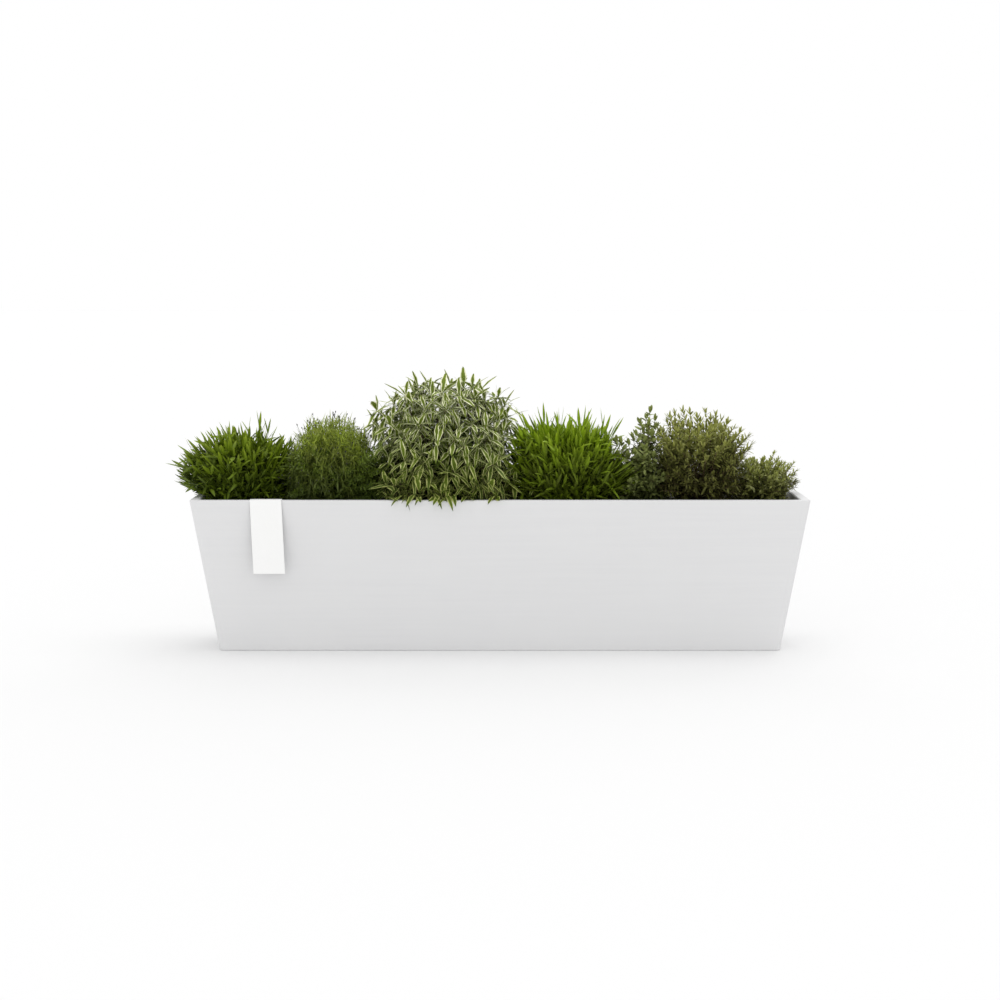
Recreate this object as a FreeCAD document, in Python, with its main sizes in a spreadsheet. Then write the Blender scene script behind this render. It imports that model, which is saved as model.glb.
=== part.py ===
import FreeCAD, Part
import math
import os
import re

import Sketcher
from FreeCAD import Placement, Rotation, Vector

# Planted indoor trough: a drafted shell with a drained base, its fillings, seven plants with
# their root balls, two drain plugs and a folded card over the rim.
# Frame: origin on the floor under the middle of the base, +X along the trough, front at -Y, +Z up.

# Driving dimensions in millimetres. A name that ends in share is a share of another size,
# and one that ends in count is a number of pieces.
SIZES = {
    # Trough, measured over its outside at the rim
    "trough_length": 800,
    "trough_width": 210,
    "trough_height": 200,
    "base_taper": 33.5,
    "wall": 12,
    "floor_thickness": 10,
    "outer_corner_radius": 9,
    "inner_corner_radius": 5,
    "rim_edge": 1.0,
    "base_edge": 1.0,
    # Underside: a standing ring and a middle pad around a drained hollow
    "underside_depth": 5,
    "ring_width": 14,
    "pad_length": 120,
    "pad_width": 50,
    "pad_corner_radius": 8,
    "notch_width": 7.5,
    "notch_height": 2.4,
    "notch_radius": 0.8,
    "drain_radius": 11,
    "drain_spacing": 400,
    # Plugs pushed into the drain holes from below
    "plug_clearance": 0.2,
    "plug_head_radius": 17,
    "plug_head_thickness": 2.5,
    "plug_rib_height": 1.2,
    "plug_rib_width": 6,
    "plug_edge": 0.6,
    # Fillings, from the floor of the trough upwards
    "pebble_depth": 24,
    "fleece_thickness": 1.5,
    "headspace": 14,
    "fill_clearance": 0.3,
    # Plants
    "root_clearance": 0.3,
    "root_wall_gap": 4,
    "root_proud": 2,
    "root_depth_share": 0.74,
    "root_base_share": 0.76,
    "foliage_lift": 2,
    "foliage_gap": 3,
    "collar_thickness": 2,
    # Folded card over the front rim
    "card_width": 40.6,
    "card_length": 95,
    "card_thickness": 0.5,
    "card_clearance": 0.3,
    "card_lean": 4.2,
    "card_place_share": 0.753,
    "card_tuck_share": 0.85,
    # One overrun for all cuts
    "overrun": 5,
}

# Where one plant's foliage ends and the next begins along the row, as shares of half the length
ROW_EDGE_SHARES = (-1.09, -0.697, -0.428, 0.049, 0.404, 0.532, 0.795, 0.997)

# One row for each plant, from left to right: the height of its foliage above the rim, the radius
# and number of its stems (no stems: a dense crown), and shares of its slot or of the trough's width.
PLANTS = {
    "dwarf_bamboo": {"height": 87, "depth_share": 0.70, "root_share": 0.54},
    "feathery_herb": {"height": 96, "depth_share": 0.74, "root_share": 0.80},
    "variegated_shrub": {
        "height": 152, "depth_share": 0.84, "root_share": 0.58,
        "stem_radius": 4.5, "stem_count": 6,
    },
    "grass_tuft": {"height": 95, "depth_share": 0.70, "root_share": 0.68},
    "marjoram": {
        "height": 104, "depth_share": 0.50, "root_share": 0.86,
        "stem_radius": 1.6, "stem_count": 4,
    },
    "thyme_bush": {
        "height": 98, "depth_share": 0.72, "root_share": 0.68,
        "stem_radius": 3.2, "stem_count": 7,
    },
    "young_thyme": {
        "height": 52, "depth_share": 0.58, "root_share": 0.60,
        "stem_radius": 2.2, "stem_count": 5,
    },
}

# Foliage outline, from its underside up: height share, size share and sideways share. All
# sections of a plant have the same proportions, so that its facets stay flat.
END_TUFT_SHARES = (
    (0, 0.74, 0.13), (0.20, 0.88, 0.04), (0.44, 0.90, 0), (0.68, 0.76, 0.02), (0.87, 0.52, 0.05),
    (1, 0.26, 0.08),
)
TUFT_SHARES = (
    (0, 0.80, 0), (0.20, 0.90, 0), (0.44, 0.92, 0), (0.68, 0.80, 0), (0.87, 0.58, 0.02), (1, 0.32, 0.04)
)
CUSHION_SHARES = (
    (0, 0.90, 0), (0.22, 0.96, 0), (0.46, 0.97, 0), (0.70, 0.85, 0), (0.88, 0.61, 0), (1, 0.34, 0)
)
SHRUB_SHARES = (
    (0, 0.84, 0), (0.14, 0.91, 0), (0.38, 0.91, 0), (0.60, 0.80, 0), (0.77, 0.62, 0.01), (0.90, 0.43, 0.02),
    (1, 0.22, 0.03),
)
SPRIG_SHARES = (
    (0, 0.88, 0), (0.24, 0.98, 0), (0.48, 1.00, 0), (0.74, 0.80, 0.06), (0.90, 0.56, 0.14), (1, 0.28, 0.22)
)
FOLIAGE_SHARES = {
    "dwarf_bamboo": END_TUFT_SHARES,
    "feathery_herb": CUSHION_SHARES,
    "variegated_shrub": SHRUB_SHARES,
    "grass_tuft": TUFT_SHARES,
    "marjoram": SPRIG_SHARES,
    "thyme_bush": CUSHION_SHARES,
    "young_thyme": SPRIG_SHARES,
}
# Number of flat sides on a foliage section, a root ball and a stem
FOLIAGE_SIDES = 14
ROOT_SIDES = 20
STEM_SIDES = 6
# Crown and stems: where they leave the root ball and reach the foliage
CROWN_BASE_SHARE = 0.62
CROWN_TOP_SHARE = 0.52
STEM_RING_SHARE = 0.34
STEM_SPREAD_SHARE = 0.56
STEM_TAPER_SHARE = 0.70

doc = FreeCAD.newDocument("planted_trough")
sheet = doc.addObject("Spreadsheet::Sheet", "Sizes")
for plant, sizes in PLANTS.items():
    SIZES.update({f"{plant}_{name}": number for name, number in sizes.items()})
for row, (name, number) in enumerate(SIZES.items(), start=1):
    sheet.set(f"A{row}", name)
    sheet.set(f"B{row}", str(number))
    sheet.setAlias(f"B{row}", name)
doc.recompute()


def sized(formula):
    """Write the size names of a formula as cells of the sheet."""

    def cell(word):
        return f"Sizes.{word[0]}" if word[0] in SIZES else word[0]

    return re.sub(r"[a-z][a-z_]*", cell, str(formula))


def number(formula):
    """The value of a formula now."""
    result = sheet.evalExpression(sized(formula))
    return float(getattr(result, "Value", result))


def bind(item, **formulas):
    """Bind properties of an object to formulas on the sheet; two underscores stand for a dot."""
    for name, formula in formulas.items():
        item.setExpression(name.replace("__", "."), sized(formula))


def new_body(label):
    body = doc.addObject("PartDesign::Body", label)
    body.Label = label
    return body


def origin_feature(body, role):
    return next(feature for feature in body.Origin.OriginFeatures if feature.Role == role)


def new_sketch(body, name, plane="XY_Plane", height="0"):
    sketch = body.newObject("Sketcher::SketchObject", name)
    sketch.AttachmentSupport = (origin_feature(body, plane), [""])
    sketch.MapMode = "FlatFace"
    bind(sketch, AttachmentOffset__Base__z=height)
    return sketch


def hold(sketch, kind, parts, name, formula):
    """Add a named constraint whose value is a formula on the sheet."""
    index = sketch.addConstraint(Sketcher.Constraint(kind, *parts, number(formula)))
    sketch.renameConstraint(index, name)
    sketch.setExpression(f"Constraints.{name}", sized(formula))


def draw_polygon(sketch, corners, name="corner"):
    """A closed outline whose corners are pairs of formulas."""
    points = [Vector(number(x), number(y), 0) for x, y in corners]
    lines = []
    for start, end in zip(points, points[1:] + points[:1]):
        lines.append(sketch.addGeometry(Part.LineSegment(start, end)))
    for line, following in zip(lines, lines[1:] + lines[:1]):
        sketch.addConstraint(Sketcher.Constraint("Coincident", line, 2, following, 1))
    for index, (line, (x, y)) in enumerate(zip(lines, corners)):
        hold(sketch, "DistanceX", (-1, 1, line, 1), f"{name}_{index}_x", x)
        hold(sketch, "DistanceY", (-1, 1, line, 1), f"{name}_{index}_y", y)


def draw_rounded_rectangle(sketch, half_x, half_y, radius, middle_x="0"):
    """A rectangle about a middle on the X axis, with four round corners tangent to its sides."""
    x, y, r, middle = number(half_x), number(half_y), number(radius), number(middle_x)
    lines, arcs = [], []
    for turn in range(4):
        across, along = (x, y) if turn % 2 == 0 else (y, x)
        side = [Vector(r - across, -along, 0), Vector(across - r, -along, 0)]
        centre = Vector(across - r, r - along, 0)
        spin = Rotation(Vector(0, 0, 1), 90 * turn)
        start, end, centre = (spin.multVec(point) + Vector(middle, 0, 0) for point in (*side, centre))
        lines.append(sketch.addGeometry(Part.LineSegment(start, end)))
        first_angle = math.radians(90 * turn - 90)
        circle = Part.Circle(centre, Vector(0, 0, 1), r)
        arcs.append(sketch.addGeometry(Part.ArcOfCircle(circle, first_angle, first_angle + math.pi / 2)))
    for turn in range(4):
        following = lines[(turn + 1) % 4]
        sketch.addConstraint(Sketcher.Constraint("Tangent", lines[turn], 2, arcs[turn], 1))
        sketch.addConstraint(Sketcher.Constraint("Tangent", arcs[turn], 2, following, 1))
        sketch.addConstraint(Sketcher.Constraint("Vertical" if turn % 2 else "Horizontal", lines[turn]))
    for arc in arcs[1:]:
        sketch.addConstraint(Sketcher.Constraint("Equal", arcs[0], arc))
    hold(sketch, "Radius", (arcs[0],), "corner_radius", radius)
    front, right, back, left = lines
    hold(sketch, "DistanceY", (-1, 1, front, 1), "front", f"-({half_y})")
    hold(sketch, "DistanceY", (-1, 1, back, 1), "back", half_y)
    hold(sketch, "DistanceX", (-1, 1, right, 1), "right", f"{middle_x} + {half_x}")
    hold(sketch, "DistanceX", (-1, 1, left, 1), "left", f"{middle_x} - ({half_x})")


def draw_circle(sketch, radius, x="0", name="circle"):
    circle = sketch.addGeometry(Part.Circle(Vector(number(x), 0, 0), Vector(0, 0, 1), number(radius)))
    sketch.addConstraint(Sketcher.Constraint("PointOnObject", circle, 3, -1))
    hold(sketch, "Radius", (circle,), f"{name}_radius", radius)
    if x == "0":
        sketch.addConstraint(Sketcher.Constraint("PointOnObject", circle, 3, -2))
    else:
        hold(sketch, "DistanceX", (-1, 1, circle, 3), f"{name}_x", x)


def add_pad(body, sketch, length, **settings):
    pad = body.newObject("PartDesign::Pad", f"{sketch.Name}_pad")
    pad.Profile = sketch
    bind(pad, Length=length)
    for name, setting in settings.items():
        setattr(pad, name, setting)
    doc.recompute()
    return pad


def add_pocket(body, sketch, length="0", **settings):
    """Cut a sketch out of a body, and stop the build if nothing was cut."""
    before = body.Shape.Volume
    pocket = body.newObject("PartDesign::Pocket", f"{sketch.Name}_pocket")
    pocket.Profile = sketch
    if settings.get("Type") != "ThroughAll":
        bind(pocket, Length=length)
    for name, setting in settings.items():
        setattr(pocket, name, setting)
    doc.recompute()
    if body.Shape.Volume >= before:
        raise ValueError(f"{pocket.Name} cuts nothing")
    return pocket


def add_loft(body, sketches, kind="AdditiveLoft"):
    loft = body.newObject(f"PartDesign::{kind}", f"{sketches[0].Name}_loft")
    loft.Profile = sketches[0]
    loft.Sections = sketches[1:]
    loft.Ruled = True
    doc.recompute()
    return loft


def add_chamfer(body, size, height, name):
    """Take the corner off the edges of a body that lie flat at a height."""
    base = body.Tip
    level = number(height)
    edges = [f"Edge{index}" for index, edge in enumerate(base.Shape.Edges, start=1) if flat_at(edge, level)]
    chamfer = body.newObject("PartDesign::Chamfer", name)
    chamfer.Base = (base, edges)
    bind(chamfer, Size=size)
    doc.recompute()
    return chamfer


def flat_at(edge, height):
    """Whether an edge lies flat at a height."""
    box = edge.BoundBox
    return box.ZLength < Part.Precision.confusion() * 10 and abs(box.ZMin - height) < 1e-4


# Sizes of the trough's outside and inside at a height, as formulas
def outer_half(side, height):
    return f"({side}/2 - base_taper*(1 - ({height})/trough_height))"


def inner_half(side, height):
    return f"({outer_half(side, height)} - wall)"


FLOOR_TOP = "(underside_depth + floor_thickness)"
FLEECE_BOTTOM = f"({FLOOR_TOP} + pebble_depth)"
SOIL_BOTTOM = f"({FLEECE_BOTTOM} + fleece_thickness)"
SOIL_TOP = "(trough_height - headspace)"
ROOT_TOP = f"({SOIL_TOP} + root_proud)"
ROOT_DEPTH = f"(root_depth_share*({SOIL_TOP} - {SOIL_BOTTOM}))"
ROOT_BOTTOM = f"({SOIL_TOP} - {ROOT_DEPTH})"
FOLIAGE_BOTTOM = "(trough_height + foliage_lift)"


def add_drafted_loft(body, name, half, radius, levels, kind="AdditiveLoft"):
    """A block or a hollow that follows the trough's walls through levels of (height, growth)."""
    sketches = []
    for step, (height, growth) in enumerate(levels):
        sketch = new_sketch(body, f"{name}_{step}", height=height)
        half_x = f"{half('trough_length', height)} + {growth}"
        half_y = f"{half('trough_width', height)} + {growth}"
        draw_rounded_rectangle(sketch, half_x, half_y, f"{radius} + {growth}")
        sketches.append(sketch)
    return add_loft(body, sketches, kind)


def make_trough():
    body = new_body("trough")
    outside = [
        ("0", "-base_edge"),
        ("base_edge", "0"),
        ("(trough_height - rim_edge)", "0"),
        ("trough_height", "-rim_edge"),
    ]
    add_drafted_loft(body, "outside", outer_half, "outer_corner_radius", outside)
    inside = [(FLOOR_TOP, "0"), ("(trough_height - rim_edge)", "0"), ("trough_height", "rim_edge")]
    add_drafted_loft(body, "inside", inner_half, "inner_corner_radius", inside, "SubtractiveLoft")

    # Hollow under the floor, drained by a notch through the ring at the back
    hollow = new_sketch(body, "underside_hollow")
    draw_rounded_rectangle(
        hollow,
        f"{outer_half('trough_length', '0')} - ring_width",
        f"{outer_half('trough_width', '0')} - ring_width",
        "inner_corner_radius",
    )
    add_pocket(body, hollow, "underside_depth", Reversed=True)
    notch = new_sketch(body, "ring_notch", "XZ_Plane")
    corners = [
        ("-notch_width/2", "-overrun"),
        ("notch_width/2", "-overrun"),
        ("notch_width/2", "notch_height - notch_radius"),
        ("notch_width/2 - notch_radius", "notch_height"),
        ("notch_radius - notch_width/2", "notch_height"),
        ("-notch_width/2", "notch_height - notch_radius"),
    ]
    draw_polygon(notch, corners)
    add_pocket(body, notch, Type="ThroughAll")

    # Middle pad, which carries the floor where the trough is longest between its ends
    pad = new_sketch(body, "middle_pad")
    draw_rounded_rectangle(pad, "pad_length/2", "pad_width/2", "pad_corner_radius")
    add_pad(body, pad, "underside_depth")
    drains = new_sketch(body, "drain_holes")
    draw_circle(drains, "drain_radius", "-drain_spacing/2", "left")
    draw_circle(drains, "drain_radius", "drain_spacing/2", "right")
    add_pocket(body, drains, f"{FLOOR_TOP} + overrun", Reversed=True)
    return body


def make_plug(label, side):
    """A rubber plug: a shank in the drain hole, a head under the floor and a grip rib below it."""
    body = new_body(label)
    bind(body, Placement__Base__x=f"{side}*drain_spacing/2")
    head = new_sketch(body, f"{label}_head", height="underside_depth - plug_head_thickness")
    draw_circle(head, "plug_head_radius")
    add_pad(body, head, "plug_head_thickness")
    shank = new_sketch(body, f"{label}_shank", height="underside_depth")
    draw_circle(shank, "drain_radius - plug_clearance")
    add_pad(body, shank, "floor_thickness")
    rib = new_sketch(body, f"{label}_rib", height="underside_depth - plug_head_thickness")
    half_rib = "plug_head_radius - plug_rib_width/2"
    draw_rounded_rectangle(rib, half_rib, "plug_rib_width/2", "plug_rib_width/4")
    add_pad(body, rib, "plug_rib_height", Reversed=True)
    add_chamfer(body, "plug_edge", FLOOR_TOP, f"{label}_lead_in")
    return body


def make_filling(label, bottom, top):
    body = new_body(label)
    levels = [(bottom, "-fill_clearance"), (top, "-fill_clearance")]
    add_drafted_loft(body, label, inner_half, "inner_corner_radius", levels)
    return body


def slot_edges(index):
    """The two ends of a plant's stretch of the row, less half the gap to its neighbours."""
    left, right = (f"({share}*trough_length/2)" for share in ROW_EDGE_SHARES[index:index + 2])
    return f"({left} + foliage_gap/2)", f"({right} - foliage_gap/2)"


def plant_sizes(index, plant):
    """Formulas for a plant's middle, half width, half depth, and its root ball's radius and middle.

    The first and the last root ball stand against the trough's ends, and their leaves reach out over them.
    """
    left, right = slot_edges(index)
    middle = f"(({left} + {right})/2)"
    half_width = f"(({right} - {left})/2)"
    half_depth = f"({plant}_depth_share*trough_width/2)"
    root_radius = f"({plant}_root_share*{half_width})"
    end = f"({inner_half('trough_length', ROOT_BOTTOM)} - root_base_share*{root_radius} - root_wall_gap)"
    root_middle = {0: f"(-{end})", len(PLANTS) - 1: end}.get(index, middle)
    return middle, half_width, half_depth, root_radius, root_middle


def ring(sides, height, half_x, half_y, middle_x=0.0):
    """The corners of a many-sided section.

    Sections of one solid keep their proportions, so that its facets are flat.
    """
    turns = [2 * math.pi * (side + 0.5) / sides for side in range(sides)]
    return [Vector(middle_x + half_x * math.cos(turn), half_y * math.sin(turn), height) for turn in turns]


def faceted_solid(rings):
    """A closed solid of flat facets through sections that have the same number of corners."""
    faces = [Part.Face(Part.makePolygon(corners + corners[:1])) for corners in (rings[0], rings[-1])]
    for lower, upper in zip(rings, rings[1:]):
        for corner in range(len(lower)):
            following = (corner + 1) % len(lower)
            outline = [lower[corner], lower[following], upper[following], upper[corner], lower[corner]]
            faces.append(Part.Face(Part.makePolygon(outline)))
    solid = Part.Solid(Part.Shell(faces))
    if solid.Volume < 0:
        solid.reverse()
    return solid


def add_feature(label, shape, middle_x=0.0):
    feature = doc.addObject("Part::Feature", label)
    feature.Label = label
    feature.Shape = shape
    feature.Placement = Placement(Vector(middle_x, 0, 0), Rotation())
    return feature


def root_shape(radius, clearance=0.0, top=ROOT_TOP):
    base_radius = number("root_base_share") * radius
    lower = ring(ROOT_SIDES, number(ROOT_BOTTOM), base_radius + clearance, base_radius + clearance)
    upper = ring(ROOT_SIDES, number(top), radius + clearance, radius + clearance)
    return faceted_solid([lower, upper])


def make_soil():
    """Potting soil with a pocket for each root ball."""
    block = make_filling("soil_block", SOIL_BOTTOM, SOIL_TOP)
    pockets = []
    for index, plant in enumerate(PLANTS):
        radius, middle = (number(formula) for formula in plant_sizes(index, plant)[3:])
        pocket = root_shape(radius, number("root_clearance"), SOIL_TOP)
        pocket.translate(Vector(middle, 0, 0))
        pockets.append(pocket)
    soil = doc.addObject("Part::Cut", "potting_soil")
    soil.Label = "potting_soil"
    soil.Base = block
    soil.Tool = add_feature("root_pockets", Part.makeCompound(pockets))
    return soil


def make_root_ball(index, plant):
    radius, middle = (number(formula) for formula in plant_sizes(index, plant)[3:])
    return add_feature(f"{plant}_root_ball", root_shape(radius), middle)


def make_crown(index, plant):
    """The packed leaf bases of a tuft, between its root ball and its foliage."""
    half_width, radius, middle = (number(plant_sizes(index, plant)[item]) for item in (1, 3, 4))
    base_radius = CROWN_BASE_SHARE * radius
    top_radius = CROWN_TOP_SHARE * half_width
    lower = ring(ROOT_SIDES, number(ROOT_TOP), base_radius, base_radius)
    upper = ring(ROOT_SIDES, number(FOLIAGE_BOTTOM), top_radius, top_radius)
    return add_feature(f"{plant}_crown", faceted_solid([lower, upper]), middle)


def make_stems(index, plant):
    """Woody stems that lean out of a collar on the root ball up to the foliage."""
    half_width, radius, middle = (number(plant_sizes(index, plant)[item]) for item in (1, 3, 4))
    stem_radius = number(f"{plant}_stem_radius")
    top_radius = STEM_TAPER_SHARE * stem_radius
    foot_place = STEM_RING_SHARE * radius
    head_place = STEM_SPREAD_SHARE * half_width
    bottom, top = number(ROOT_TOP), number(FOLIAGE_BOTTOM)
    collar_top = bottom + number("collar_thickness")
    collar_radius = foot_place + stem_radius
    collar_rings = [ring(ROOT_SIDES, level, collar_radius, collar_radius) for level in (bottom, collar_top)]
    collar = faceted_solid(collar_rings)
    foot = ring(STEM_SIDES, collar_top, stem_radius, stem_radius, foot_place)
    head = ring(STEM_SIDES, top, top_radius, top_radius, head_place)
    count = int(number(f"{plant}_stem_count"))
    stems = []
    for turn in range(count):
        stem = faceted_solid([foot, head])
        stem.rotate(Vector(0, 0, 0), Vector(0, 0, 1), 360 * (turn + 0.5) / count)
        stems.append(stem)
    return add_feature(f"{plant}_stems", collar.multiFuse(stems), middle)


def make_foliage(index, plant):
    """The space that a plant's leaves fill, from its underside above the rim to its top."""
    middle, half_width, half_depth = (number(formula) for formula in plant_sizes(index, plant)[:3])
    bottom = number(FOLIAGE_BOTTOM)
    height = number(f"trough_height + {plant}_height") - bottom
    sections = []
    for height_share, size_share, shift_share in FOLIAGE_SHARES[plant]:
        half_x, half_y = size_share * half_width, size_share * half_depth
        level = bottom + height_share * height
        sections.append(ring(FOLIAGE_SIDES, level, half_x, half_y, shift_share * half_width))
    return add_feature(f"{plant}_foliage", faceted_solid(sections), middle)


def make_card():
    """A strip of card folded over the front rim: a long leg outside, a short one tucked inside."""
    body = new_body("rim_card")
    bind(body, Placement__Base__x="-card_place_share*trough_length/2")
    outside = "(-trough_width/2 - card_clearance)"
    inside = "(wall + card_clearance - trough_width/2)"
    tuck = "(card_tuck_share*headspace)"
    slope = f"({tuck}*base_taper/trough_height)"
    under = "(trough_height + card_clearance)"
    corners = [
        (f"{outside} - card_thickness", f"{under} - card_length"),
        (outside, f"{under} - card_length"),
        (outside, under),
        (inside, under),
        (f"{inside} + {slope}", f"{under} - {tuck}"),
        (f"{inside} + {slope} + card_thickness", f"{under} - {tuck}"),
        (f"{inside} + card_thickness", f"{under} + card_thickness"),
        (f"{outside} - card_thickness", f"{under} + card_thickness"),
    ]
    fold = new_sketch(body, "card_fold", "YZ_Plane")
    draw_polygon(fold, corners)
    add_pad(body, fold, "card_width + 2*card_lean", Midplane=True)

    # Trim both sides, so that the strip leans a little on its way down
    sides = new_sketch(body, "card_sides", "XZ_Plane")
    bottom = f"{under} - card_length"
    for name, side, lean_in in (("left", -1, 1), ("right", 1, 1)):
        edge = f"{side}*card_width/2"
        away = f"{edge} + {side}*(2*card_lean + overrun)"
        slip = "card_lean*(card_length + overrun)/card_length"
        corners = [
            (edge, under),
            (f"{edge} + {slip}", f"{bottom} - overrun"),
            (away, f"{bottom} - overrun"),
            (away, f"{under} + overrun"),
            (edge, f"{under} + overrun"),
        ]
        draw_polygon(sides, corners, name)
    add_pocket(body, sides, Type="ThroughAll", Midplane=True)
    return body


def build():
    pieces = [make_trough(), make_plug("drain_plug_left", -1), make_plug("drain_plug_right", 1)]
    pieces.append(make_filling("drainage_pebbles", FLOOR_TOP, FLEECE_BOTTOM))
    pieces.append(make_filling("filter_fleece", FLEECE_BOTTOM, SOIL_BOTTOM))
    pieces.append(make_soil())
    for index, (plant, sizes) in enumerate(PLANTS.items()):
        pieces.append(make_root_ball(index, plant))
        pieces.append(make_stems(index, plant) if "stem_count" in sizes else make_crown(index, plant))
        pieces.append(make_foliage(index, plant))
    pieces.append(make_card())
    doc.recompute()
    return pieces


def check(pieces):
    for item in doc.Objects:
        if "Invalid" in item.State or "Error" in item.State:
            raise ValueError(f"{item.Name} failed: {item.State}")
    for piece in pieces:
        if piece.Shape.isNull() or not piece.Shape.isValid():
            raise ValueError(f"{piece.Label} has no valid shape")


def export(pieces):
    os.makedirs("parts", exist_ok=True)
    for piece in pieces:
        piece.Shape.exportStep(os.path.join("parts", f"{piece.Label}.step"))
        box = piece.Shape.BoundBox
        print(
            f"{piece.Label}: {len(piece.Shape.Solids)} solid(s), {piece.Shape.Volume / 1000:.1f} cm3,",
            f"x {box.XMin:.1f}..{box.XMax:.1f},",
            f"y {box.YMin:.1f}..{box.YMax:.1f},",
            f"z {box.ZMin:.1f}..{box.ZMax:.1f}",
        )


parts = build()
check(parts)
export(parts)
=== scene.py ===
import math
from functools import partial

import bpy
import numpy as np
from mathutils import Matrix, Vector


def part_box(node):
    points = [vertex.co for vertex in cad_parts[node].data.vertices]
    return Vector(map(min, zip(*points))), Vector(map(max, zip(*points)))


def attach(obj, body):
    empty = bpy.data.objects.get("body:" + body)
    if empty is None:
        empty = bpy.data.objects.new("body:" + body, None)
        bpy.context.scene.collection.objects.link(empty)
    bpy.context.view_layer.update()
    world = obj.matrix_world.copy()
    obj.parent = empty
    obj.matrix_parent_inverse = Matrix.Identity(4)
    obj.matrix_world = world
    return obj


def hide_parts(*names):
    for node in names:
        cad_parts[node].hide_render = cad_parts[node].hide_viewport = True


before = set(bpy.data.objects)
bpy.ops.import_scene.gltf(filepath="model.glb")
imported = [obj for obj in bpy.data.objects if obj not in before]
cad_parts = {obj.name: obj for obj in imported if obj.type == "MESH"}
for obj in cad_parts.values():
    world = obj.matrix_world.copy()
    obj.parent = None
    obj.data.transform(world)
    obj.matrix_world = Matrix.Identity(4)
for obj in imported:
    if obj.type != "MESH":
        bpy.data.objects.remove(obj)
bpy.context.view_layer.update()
scene = bpy.context.scene

# The view: the photograph's own frame, in pixels, and the camera that took it, in metres and degrees
PHOTO_SIDE = 1000
FOCAL_PIXELS = 2337
SENSOR_WIDTH = 36
CAMERA_PLACE = Vector((0, -3.093, 0.471))
CAMERA_PITCH = math.radians(5.17)

# The light. Each lamp: name, strength, width of its light, tilt about X and turn about Z, the last three in degrees
WORLD_LEVEL = 0.88
LAMPS = (
    ("back_light", 0.55, 50, -62, -10),
    ("top_light", 0.50, 60, -12, -60),
    ("front_light", 0.33, 60, 68, -12),
)
FLOOR_SIDE = 60
FLOOR_MIDDLE = (0, 20, 0)

# Sizes that the frame gives
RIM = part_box("trough")[1].z
SOIL_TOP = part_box("potting_soil")[1].z
TROUGH_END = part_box("trough")[1].x
TROUGH_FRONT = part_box("trough")[0].y
PLANTS = [node.removesuffix("_root_ball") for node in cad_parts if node.endswith("_root_ball")]
MM = 0.001
FULL_TURN = 2 * math.pi
GOLDEN_ANGLE = math.pi * (3 - math.sqrt(5))
UP = np.array((0.0, 0.0, 1.0))

# The room that leaves and stems leave: inside the walls, over the rim, and round the other plants' root balls
WALL_ROOM = 14 * MM
RIM_ROOM = 2 * MM
BALL_ROOM = 4 * MM
# How far a leaf may reach in front of the trough's middle and behind it
FARTHEST = 118 * MM

# The depths of the grasses' tips, behind the trough's middle, and how far out on its root ball the shrub branches off
GRASS_TIP_DEPTH = (-0.035, 0.03)
SHRUB_SPREAD = 0.4

# Tints outside 0 to 1 mark leaves with painted shade, darker and without pale margins, and dark flower buds
SHADE_TINT = -0.45
BUD_TINT = 2.0


# Shader maths
class Value:
    """A socket that can be added, subtracted, multiplied and raised to a power."""

    def __init__(self, shader, socket):
        self.shader = shader
        self.socket = socket

    def math(self, operation, *inputs, clamp=False):
        settings = {"operation": operation, "use_clamp": clamp}
        return self.shader.node("ShaderNodeMath", settings, dict(enumerate(inputs)))

    def __add__(self, other):
        return self.math("ADD", self, other)

    def __sub__(self, other):
        return self.math("SUBTRACT", self, other)

    def __rsub__(self, other):
        return self.math("SUBTRACT", other, self)

    def __mul__(self, other):
        return self.math("MULTIPLY", self, other)

    def __pow__(self, other):
        return self.math("POWER", self, other)

    def __abs__(self):
        return self.math("ABSOLUTE", self)

    def clamped(self):
        return self.math("ADD", self, 0, clamp=True)

    __radd__ = __add__
    __rmul__ = __mul__


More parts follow.
